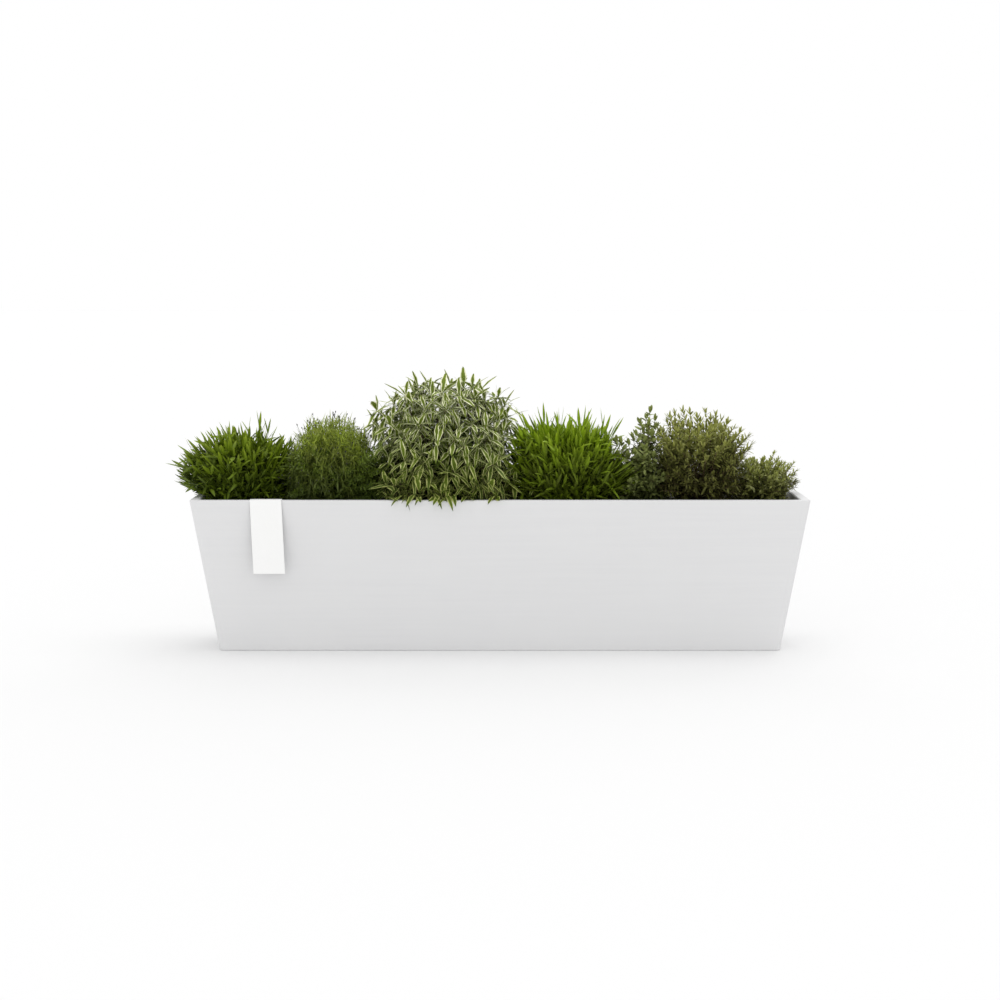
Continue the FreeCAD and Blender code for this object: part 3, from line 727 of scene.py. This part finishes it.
def make_variegated_shrub(leaf_material, stem_material):
    plant = Plant("variegated_shrub", seed=11)
    branch = partial(grow_branch, plant)
    outer_branches, shaded_branches, low_branches = 125, 120, 50
    # Branch ends that the photograph shows, with their depth behind the trough's middle
    ends = (
        (405, 391, -0.02), (384, 410, -0.01), (429, 379, 0.0), (442, 388, -0.03), (390, 422, -0.03),
        (409, 439, -0.05), (404, 456, -0.075), (429, 460, -0.08), (394, 481, -0.09), (419, 487, -0.092),
        (429, 478, -0.09), (442, 492, -0.095), (451, 378, 0.0), (473, 381, -0.01), (459, 391, -0.03),
        (494, 408, -0.01), (500, 416, -0.02), (443, 420, -0.06), (459, 422, -0.06), (472, 419, -0.05),
        (487, 424, -0.05), (496, 430, -0.03), (464, 442, -0.08), (468, 453, -0.09), (494, 460, -0.085),
        (497, 443, -0.05), (468, 477, -0.09), (458, 485, -0.094), (474, 484, -0.092), (484, 474, -0.088),
        (490, 488, -0.09), (425, 405, -0.04), (436, 436, -0.075), (415, 420, -0.05), (395, 440, -0.04),
        (388, 457, -0.05), (502, 474, -0.06), (480, 440, -0.075), (450, 405, -0.045), (412, 470, -0.085),
        (447, 468, -0.085), (406, 404, -0.02), (486, 396, -0.01), (455, 468, -0.088), (418, 383, 0.0),
        (464, 383, 0.01), (480, 386, 0.01), (393, 399, -0.01), (376, 405, 0.0), (498, 393, 0.0),
        (478, 399, -0.02), (432, 394, -0.03), (463, 401, -0.03), (505, 401, 0.0), (374, 419, -0.01),
        (507, 413, -0.01), (380, 428, -0.02), (385, 440, -0.04), (504, 428, -0.02), (502, 442, -0.04),
        (416, 395, 0.02), (445, 398, 0.02),
    )
    # A rosette's leaves reach up past its middle, so that is a little lower than the end, and never above one row
    drop, top_row = 5, 388
    middle_column, half_width = 445, 60
    for x, y, depth in ends:
        head = at_pixel(x, max(y + drop, top_row), depth)
        outward = np.array((0.7 * (x - middle_column) / half_width, -0.85, 0.35))
        branch(head, 14, length=(0.027, 0.038), width=(0.19, 0.26), outward=outward)
    centre = np.array((plant.middle[0] + 1 * MM, 0, RIM))
    for _ in range(outer_branches):
        point = dome_point(plant, size=(0.079, 0.088, 0.144), power=2.4, inner=0.84)
        outward = unit(point) + 0.15 * UP
        branch(centre + point, 13, length=(0.026, 0.038), width=(0.19, 0.26), outward=outward)
    # Leaves in the shade of the others, with painted shade: darker and without their pale margins
    for _ in range(shaded_branches):
        point = dome_point(plant, size=(0.068, 0.076, 0.124), power=2.4, inner=0.35)
        outward = unit(point) + 0.3 * UP
        branch(centre + point, 12, length=(0.024, 0.036), width=(0.20, 0.27), outward=outward, tint=SHADE_TINT)
    # Low branches: a third on the right and a third on the left, towards the next plants
    for step in range(low_branches):
        head = low_point(plant, 4, 30)
        if step % 3 == 0:
            head[0] = plant.between(0.0, 0.052)
        if step % 3 == 1:
            head[0] = plant.between(-0.170, -0.140)
        outward = np.array((plant.between(-0.5, 0.5), -0.8 if head[1] < 0 else 0.8, 0.5))
        branch(head, 9, length=(0.022, 0.032), width=(0.20, 0.27), outward=outward)
    # Tips of the leaves that hang over the front rim
    rim_tips = (
        (391, 507), (402, 504), (410, 512), (421, 503), (433, 506), (442, 510), (453, 512), (461, 503), (474, 501),
        (488, 505), (398, 502), (428, 502), (447, 503), (500, 501), (406, 508), (438, 507), (456, 507), (415, 506),
    )
    for x, y in rim_tips:
        tip = at_pixel(x, y, -0.115)
        aside = plant.between(4, 18) * plant.random.choice((-1, 1)) * MM
        foot = np.array((tip[0] + aside, TROUGH_FRONT + 13 * MM, 0.0))
        # The leaf bends over the rim's edge with a little room below it
        bend = ((foot[1] - TROUGH_FRONT) / (foot[1] - tip[1])) ** 2
        foot[2] = (RIM + RIM_ROOM - bend * tip[2]) / (1 - bend)
        twig = bowed(crown_point(plant, SHRUB_SPREAD), foot, bow=0.16, steps=7)
        plant.stem(twig, radius=0.9 * MM, tip_share=0.5)
        axis = unit(np.array((0, -0.4, 1)))
        grow_rosette(plant, foot, axis, 5, length=(0.016, 0.024), width=(0.18, 0.24), opening=(0.3, 1.2))
        level = tip - foot
        fall = -level[2]
        level[2] = 0
        reach = np.linalg.norm(level)
        width, roll = plant.between(0.005, 0.0078), plant.between(-0.8, 0.8)
        plant.leaf("lance", foot, level, reach, width, fall / reach, roll, over_rim=True)
    plant.build({"leaves": (("lance",), leaf_material)}, "branches", stem_material, "woody_stem", "stems")


def make_marjoram(leaf_material, stem_material):
    plant = Plant("marjoram", seed=13)
    sprig = partial(grow_sprig, plant, form="oval", gap=0.0066, radius=0.7 * MM)
    dome_sprigs, low_sprigs = 130, 45
    tips = (
        (650, 413, 0.0), (656, 428, -0.01), (640, 424, -0.01), (628, 444, -0.02), (621, 444, -0.02),
        (616, 443, 0.0), (633, 439, 0.01), (645, 441, -0.03), (654, 457, -0.05), (650, 464, -0.055),
        (643, 472, -0.06), (624, 470, -0.05), (635, 455, -0.05), (628, 458, -0.045), (658, 442, 0.01),
        (660, 450, 0.0), (618, 457, -0.03), (640, 486, -0.075), (652, 480, -0.075), (658, 474, -0.06),
        (647, 430, 0.0), (652, 436, -0.02), (645, 450, -0.06), (630, 484, -0.08), (646, 419, 0.01),
        (655, 421, 0.01), (643, 431, -0.01), (636, 436, -0.02), (649, 424, -0.02), (658, 434, 0.02),
    )
    for x, y, depth in tips:
        tip = at_pixel(x, y, depth)
        sprig(tip, first=0.3, length=(0.011, 0.016), width=(0.40, 0.52), opening=(0.8, 1.4))
    for _ in range(dome_sprigs):
        point = dome_point(plant, size=(0.040, 0.084, 0.074), power=2.6, inner=0.65)
        tip = plant.foot + point - np.array((6 * MM, 0, 0))
        sprig(tip, first=0.35, length=(0.009, 0.014), width=(0.42, 0.55), opening=(0.7, 1.2))
    for _ in range(low_sprigs):
        tip = low_point(plant, 2, 40)
        sprig(tip, first=0.35, length=(0.008, 0.012), width=(0.42, 0.55), opening=(0.7, 1.2))
    plant.build({"leaves": (("oval",), leaf_material)}, "twigs", stem_material, "woody_stem", "stems")


def make_thyme_bush(leaf_material, stem_material):
    plant = Plant("thyme_bush", seed=17)
    sprig = partial(grow_sprig, plant, form="scale_leaf")
    thick, thin = 0.8 * MM, 0.6 * MM
    dome_sprigs, low_sprigs = 240, 144
    tips = (
        (683, 412, 0.0), (690, 414, 0.01), (675, 416, 0.0), (670, 418, -0.01), (667, 423, 0.0), (662, 432, 0.0),
        (697, 419, -0.01), (706, 414, 0.0), (716, 417, 0.0), (721, 421, -0.01), (733, 429, -0.045),
        (740, 433, -0.045), (747, 438, -0.045), (750, 446, -0.05), (740, 445, -0.05), (728, 440, -0.04),
        (712, 430, -0.04), (690, 428, -0.04), (678, 432, -0.05), (700, 440, -0.06), (718, 450, -0.065),
        (735, 458, -0.06), (743, 441, -0.048), (736, 436, -0.05), (748, 450, -0.06), (742, 460, -0.065),
        (665, 445, -0.03), (744, 452, -0.055), (730, 470, -0.07), (706, 460, -0.075), (680, 420, -0.02),
        (727, 424, 0.0), (711, 420, 0.0),
    )
    for x, y, depth in tips:
        tip = at_pixel(x, y, depth)
        sprig(tip, first=0.42, gap=0.0038, length=(0.011, 0.016), width=(0.20, 0.28), opening=(0.5, 1.1), radius=thick)
    centre = plant.foot + np.array((0, 0, 0.018))
    for _ in range(dome_sprigs):
        tip = centre + dome_point(plant, size=(0.058, 0.086, 0.088), power=2.8, inner=0.74)
        sprig(tip, first=0.64, gap=0.0043, length=(0.011, 0.016), width=(0.22, 0.30), opening=(0.5, 1.2), radius=thin)
    # Low sprigs, every third of them higher up on the left, towards the plant before
    for step in range(low_sprigs):
        tip = low_point(plant, -16, 40)
        if step % 3 == 0:
            tip = point_in_box(plant, across=(0.206, 0.226), depth=(-0.06, 0.06), above_rim=(0.02, 0.085))
        sprig(tip, first=0.3, gap=0.004, length=(0.008, 0.012), width=(0.26, 0.36), opening=(0.5, 1.1), radius=thin)
    plant.build({"leaves": (("scale_leaf",), leaf_material)}, "twigs", stem_material, "woody_stem", "stems")


def make_young_thyme(leaf_material, stem_material):
    plant = Plant("young_thyme", seed=19)
    sprig = partial(grow_sprig, plant, form="scale_leaf", length=(0.007, 0.010), opening=(0.6, 1.1))
    dome_sprigs, low_sprigs = 190, 100
    tips = (
        (764, 460, 0.0), (774, 454, 0.0), (793, 464, 0.0), (796, 471, -0.01), (784, 471, -0.02),
        (770, 467, -0.03), (757, 466, 0.0), (760, 474, -0.04), (776, 478, -0.05), (789, 482, -0.04),
        (794, 488, -0.02), (750, 478, -0.04), (781, 464, 0.01), (768, 486, -0.06), (778, 460, 0.0), (788, 470, 0.0),
    )
    for x, y, depth in tips:
        sprig(at_pixel(x, y, depth), first=0.25, gap=0.0030, width=(0.28, 0.38), radius=0.7 * MM)
    # Sprigs near the rim keep off the trough's right end
    low_rise, dome_end, low_end = 12 * MM, 0.372, 0.368
    for _ in range(dome_sprigs):
        point = dome_point(plant, size=(0.046, 0.082, 0.056), power=2.8, inner=0.6)
        tip = plant.foot + point + np.array((4 * MM, 0, 0))
        if tip[2] < RIM + low_rise:
            tip[0] = min(tip[0], dome_end)
        sprig(tip, first=0.35, gap=0.0036, width=(0.32, 0.42), radius=0.5 * MM)
    # Low sprigs, some of them towards the plant before and some at the front on the right
    for step in range(low_sprigs):
        tip = low_point(plant, 2, 22)
        tip[0] = min(tip[0], low_end)
        if step % 3 == 0:
            tip = point_in_box(plant, across=(0.316, 0.340), depth=(-0.06, 0.06), above_rim=(0.01, 0.048))
        if step % 4 == 1:
            tip = point_in_box(plant, across=(0.350, 0.374), depth=(-0.088, -0.05), above_rim=(0, 0.03))
        sprig(tip, first=0.35, gap=0.0036, width=(0.32, 0.42), radius=0.5 * MM)
    plant.build({"leaves": (("scale_leaf",), leaf_material)}, "twigs", stem_material, "woody_stem", "stems")


def make_soil_crumbs():
    """Crumbs of soil and a few pale grains of perlite on the soil between the root balls."""
    pile = Copies("soil", seed=23)
    crumbs_tried = 2600
    edge = 5 * MM
    low, high = (np.array(corner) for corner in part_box("potting_soil"))
    balls = []
    for plant in PLANTS:
        ball_low, ball_high = (np.array(corner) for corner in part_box(f"{plant}_root_ball"))
        balls.append(((ball_low + ball_high) / 2, (ball_high[0] - ball_low[0]) / 2 + edge))
    for _ in range(crumbs_tried):
        across, depth = pile.between(low[0] + edge, high[0] - edge), pile.between(low[1] + edge, high[1] - edge)
        place = np.array((across, depth, 0))
        if any(np.linalg.norm((place - centre)[:2]) < reach for centre, reach in balls):
            continue
        size = pile.between(1.2, 3.6) * MM
        place[2] = SOIL_TOP - 0.4 * size
        axis = leaning(UP, pile.between(0, 0.9), pile.between(0, FULL_TURN))
        width, tint = size * pile.between(0.7, 1.3), pile.between(0, 1)
        pile.leaves.setdefault("crumb", []).append((*place, *axis, size, width, 0, 0, tint))
    crumbs = pile.leaf_mesh(("crumb",), "soil_crumbs")
    dress(crumbs, crumbs.name, crumb_finish(), "planter", "soil")


# Materials. Colours are in linear light, from 0 to 1
def trough_plastic():
    shader = Shader("pale_grey_plastic")
    streaks = shader.noise(0.004, 3, (0.03, 0.03, 1))
    clouds = shader.noise(0.12, 2, (1, 1, 2))
    grain = shader.noise(0.0008, 2)
    tone = shader.mix(shader.between(streaks, 0.3, 0.7), (0.700, 0.700, 0.705), (0.712, 0.712, 0.716))
    tone = shader.mix(shader.between(clouds, 0.35, 0.65) * 0.5, tone, (0.72, 0.72, 0.722))
    return shader.finish(
        Base_Color=tone,
        Roughness=shader.between(grain, 0.2, 0.8) * 0.10 + 0.50,
        Normal=shader.bump(grain * 0.5 + streaks * 0.5, 0.0002, 0.25),
        Specular_IOR_Level=0.35,
    )


def white_card():
    shader = Shader("white_card")
    fibres = shader.noise(0.0006, 3, (1, 1, 0.35))
    tone = shader.mix(fibres, (0.86, 0.86, 0.85), (0.91, 0.91, 0.90))
    return shader.finish(Base_Color=tone, Roughness=0.7, Normal=shader.bump(fibres, 0.0001, 0.3))


# Leaves: the colours of painted shade, of painted light and at the tip, and the heights in metres of the deepest
# painted shade and of the full painted light.
# The shrub's leaves also have a margin's two colours, low and high, the high one paler as painted light, and its start
LEAF_LOOKS = {
    "bamboo_leaf": ((0.034, 0.056, 0.003), (0.21, 0.31, 0.008), (0.46, 0.54, 0.06), 0.212, 0.300),
    "grass_leaf": ((0.075, 0.10, 0.010), (0.25, 0.39, 0.006), (0.48, 0.60, 0.05), 0.222, 0.304),
    "herb_leaf": ((0.040, 0.065, 0.008), (0.14, 0.20, 0.02), (0.20, 0.26, 0.04), 0.205, 0.260),
    "variegated_leaf": (
        (0.046, 0.078, 0.005), (0.16, 0.225, 0.014), (0.28, 0.33, 0.05), 0.200, 0.320,
        ((0.72, 0.74, 0.24), (0.95, 0.95, 0.66)), 0.55,
    ),
    "marjoram_leaf": ((0.060, 0.074, 0.016), (0.27, 0.32, 0.09), (0.38, 0.42, 0.15), 0.205, 0.290),
    "thyme_leaf": ((0.026, 0.021, 0.005), (0.36, 0.385, 0.085), (0.54, 0.56, 0.22), 0.214, 0.296),
    "young_thyme_leaf": ((0.052, 0.052, 0.010), (0.40, 0.44, 0.11), (0.54, 0.57, 0.22), 0.205, 0.246),
}


def leaf_finish(name, shade, light, tip, low, high, margin=None, margin_start=None):
    """A leaf's colour: painted shade at the low height and on leaves with the shade tint, painted light at the high
    one, with its own tint.

    A leaf has a pale rib, or else a pale margin that starts at a share of the way out to its edge.
    """
    shader = Shader(name)
    tint = shader.attribute("tint")
    along = shader.attribute("along")
    across = abs(shader.attribute("across"))
    rise = shader.between(shader.height(), low, high)
    # Painted shade low down and painted light high up, mixed by height; the shade tint darkens a leaf further as
    # painted shade
    tone = shader.mix((rise * 0.70 + tint * 0.48 - 0.06).clamped(), shade, light)
    # Paler towards the tip, and only high up: painted highlight on the tips of the upper leaves
    tone = shader.mix((along ** 3 * 0.5 * rise).clamped(), tone, tip)
    if margin:
        # The pale margin is the leaf's own. It is painted paler and stronger higher up as painted light, and left out
        # on shade-tinted leaves as painted shade
        patches = shader.noise(0.006, 2)
        edge = shader.between(across + (patches - 0.5) * 0.5, margin_start, margin_start + 0.14)
        lit = shader.between(tint, -0.4, 0.2)
        tone = shader.mix(edge * lit * (0.55 + 0.45 * rise), tone, shader.mix(rise, *margin))
    else:
        rib = 1 - shader.between(across, 0.04, 0.16)
        tone = shader.mix(rib * 0.25, tone, tip)
    return shader.finish(Base_Color=tone, Roughness=0.55, Specular_IOR_Level=0.25)


def frond_finish():
    """The feathery herb's needles in patches of two greens, with painted shade low down and painted light high up, and
    its dark buds.
    """
    shader = Shader("feathery_green")
    tint = shader.attribute("tint")
    # Painted shade low down and painted light high up, mixed by height
    rise = shader.between(shader.height(), 0.215, 0.300)
    patches = shader.between(shader.noise(0.03, 2), 0.4, 0.6)
    light = shader.mix(patches * 0.5, (0.34, 0.44, 0.02), (0.26, 0.28, 0.04))
    tone = shader.mix((rise * 0.8 + tint * 0.25).clamped(), (0.034, 0.052, 0.005), light)
    tone = shader.mix(shader.between(tint, BUD_TINT - 0.5, BUD_TINT - 0.4), tone, (0.03, 0.025, 0.03))
    return shader.finish(Base_Color=tone, Roughness=0.6)


def stem_finish(name, dark, pale):
    shader = Shader(name)
    bark = shader.noise(0.004, 3, (1, 1, 0.25))
    tone = shader.mix(shader.between(bark, 0.35, 0.65), dark, pale)
    return shader.finish(Base_Color=tone, Roughness=0.75, Normal=shader.bump(bark, 0.0003, 0.5))


def soil_finish(name, dark, pale):
    shader = Shader(name)
    crumbs = shader.crumbs(0.004)
    fine = shader.noise(0.0015, 3)
    tone = shader.mix(shader.between(fine, 0.35, 0.65), dark, pale)
    return shader.finish(
        Base_Color=tone,
        Roughness=0.95,
        Normal=shader.bump(crumbs + fine * 0.5, 0.002, 0.8),
        Specular_IOR_Level=0.1,
    )


def crumb_finish():
    """Dark crumbs, and by their tint some of brown bark and a few of pale perlite."""
    shader = Shader("soil_crumbs")
    tint = shader.attribute("tint")
    fine = shader.noise(0.001, 2)
    dark = shader.mix(fine, (0.016, 0.011, 0.007), (0.055, 0.036, 0.022))
    bark = shader.mix(shader.between(tint, 0.70, 0.72), dark, (0.11, 0.065, 0.035))
    tone = shader.mix(shader.between(tint, 0.955, 0.96), bark, (0.62, 0.60, 0.56))
    return shader.finish(Base_Color=tone, Roughness=0.9, Specular_IOR_Level=0.15)


def plain_finish(name, dark, pale, grain, roughness, depth):
    """Two tones in grains of a size, with bumps of a depth, both in metres."""
    shader = Shader(name)
    grains = shader.noise(grain, 3)
    tone = shader.mix(grains, dark, pale)
    return shader.finish(Base_Color=tone, Roughness=roughness, Normal=shader.bump(grains, depth, 0.4))


# Scene
def make_floor():
    bpy.ops.object.select_all(action="DESELECT")
    bpy.ops.mesh.primitive_plane_add(size=FLOOR_SIDE, location=FLOOR_MIDDLE)
    floor = bpy.context.object
    floor.name = "floor"
    shader = Shader("pale_floor")
    seen = shader.node("ShaderNodeLightPath", output="Is Camera Ray")
    tone = shader.mix(seen, (0.94, 0.94, 0.94), (0.865, 0.865, 0.865))
    floor.data.materials.append(shader.finish(Base_Color=tone, Roughness=1.0, Specular_IOR_Level=0.0))


def make_world():
    """A white background for the camera, and a little less light than that on the object."""
    world = bpy.data.worlds.new("studio")
    scene.world = world
    world.use_nodes = True
    nodes, links = world.node_tree.nodes, world.node_tree.links
    light_path = nodes.new("ShaderNodeLightPath")
    strength = nodes.new("ShaderNodeMix")
    strength.inputs[2].default_value = WORLD_LEVEL
    strength.inputs[3].default_value = 1.0
    background = nodes["Background"]
    background.inputs["Color"].default_value = (1, 1, 1, 1)
    links.new(light_path.outputs["Is Camera Ray"], strength.inputs[0])
    links.new(strength.outputs[0], background.inputs["Strength"])


def make_lamps():
    for name, strength, spread, tilt, turn in LAMPS:
        lamp = bpy.data.lights.new(name, "SUN")
        lamp.energy = strength
        lamp.angle = math.radians(spread)
        obj = bpy.data.objects.new(name, lamp)
        obj.rotation_euler = (math.radians(tilt), 0, math.radians(turn))
        scene.collection.objects.link(obj)


def make_camera():
    camera = bpy.data.cameras.new("camera")
    camera.sensor_width = SENSOR_WIDTH
    camera.lens = FOCAL_PIXELS * SENSOR_WIDTH / PHOTO_SIDE
    obj = bpy.data.objects.new("camera", camera)
    obj.location = CAMERA_PLACE
    obj.rotation_euler = (math.pi / 2 - CAMERA_PITCH, 0, 0)
    scene.collection.objects.link(obj)
    scene.camera = obj


scene.view_settings.view_transform = "Standard"
make_camera()
make_floor()
make_world()
make_lamps()

# The trough, its card and plugs, and what it is filled with
paint("trough", trough_plastic())
paint("rim_card", white_card())
paint("potting_soil", soil_finish("potting_soil", dark=(0.018, 0.012, 0.008), pale=(0.060, 0.040, 0.026)))
root_soil = soil_finish("root_soil", dark=(0.035, 0.024, 0.015), pale=(0.11, 0.08, 0.052))
pale_root = plain_finish("pale_root", (0.34, 0.27, 0.17), (0.50, 0.42, 0.30), grain=0.002, roughness=0.8, depth=0.0002)
fired_clay = plain_finish("fired_clay", (0.30, 0.14, 0.08), (0.42, 0.22, 0.13), grain=0.004, roughness=0.9, depth=0.001)
fleece = plain_finish("fleece", (0.40, 0.40, 0.39), (0.52, 0.52, 0.51), grain=0.0008, roughness=0.95, depth=0.0003)
rubber = plain_finish(
    "plug_rubber", (0.035, 0.035, 0.038), (0.055, 0.055, 0.06), grain=0.0006, roughness=0.6, depth=0.0001
)
make_soil_crumbs()
paint("drainage_pebbles", fired_clay)
paint("filter_fleece", fleece)
paint("drain_plug_left", rubber)
paint("drain_plug_right", rubber)

green_stalk = stem_finish("green_stalk", dark=(0.05, 0.09, 0.008), pale=(0.14, 0.18, 0.02))
brown_twig = stem_finish("brown_twig", dark=(0.06, 0.035, 0.018), pale=(0.17, 0.11, 0.06))
leaf = {name: leaf_finish(name, *look) for name, look in LEAF_LOOKS.items()}
make_dwarf_bamboo(leaf["bamboo_leaf"], green_stalk)
make_grass_tuft(leaf["grass_leaf"], green_stalk)
make_feathery_herb(frond_finish(), leaf["herb_leaf"], green_stalk)
make_variegated_shrub(leaf["variegated_leaf"], brown_twig)
make_marjoram(leaf["marjoram_leaf"], brown_twig)
make_thyme_bush(leaf["thyme_leaf"], brown_twig)
make_young_thyme(leaf["young_thyme_leaf"], brown_twig)
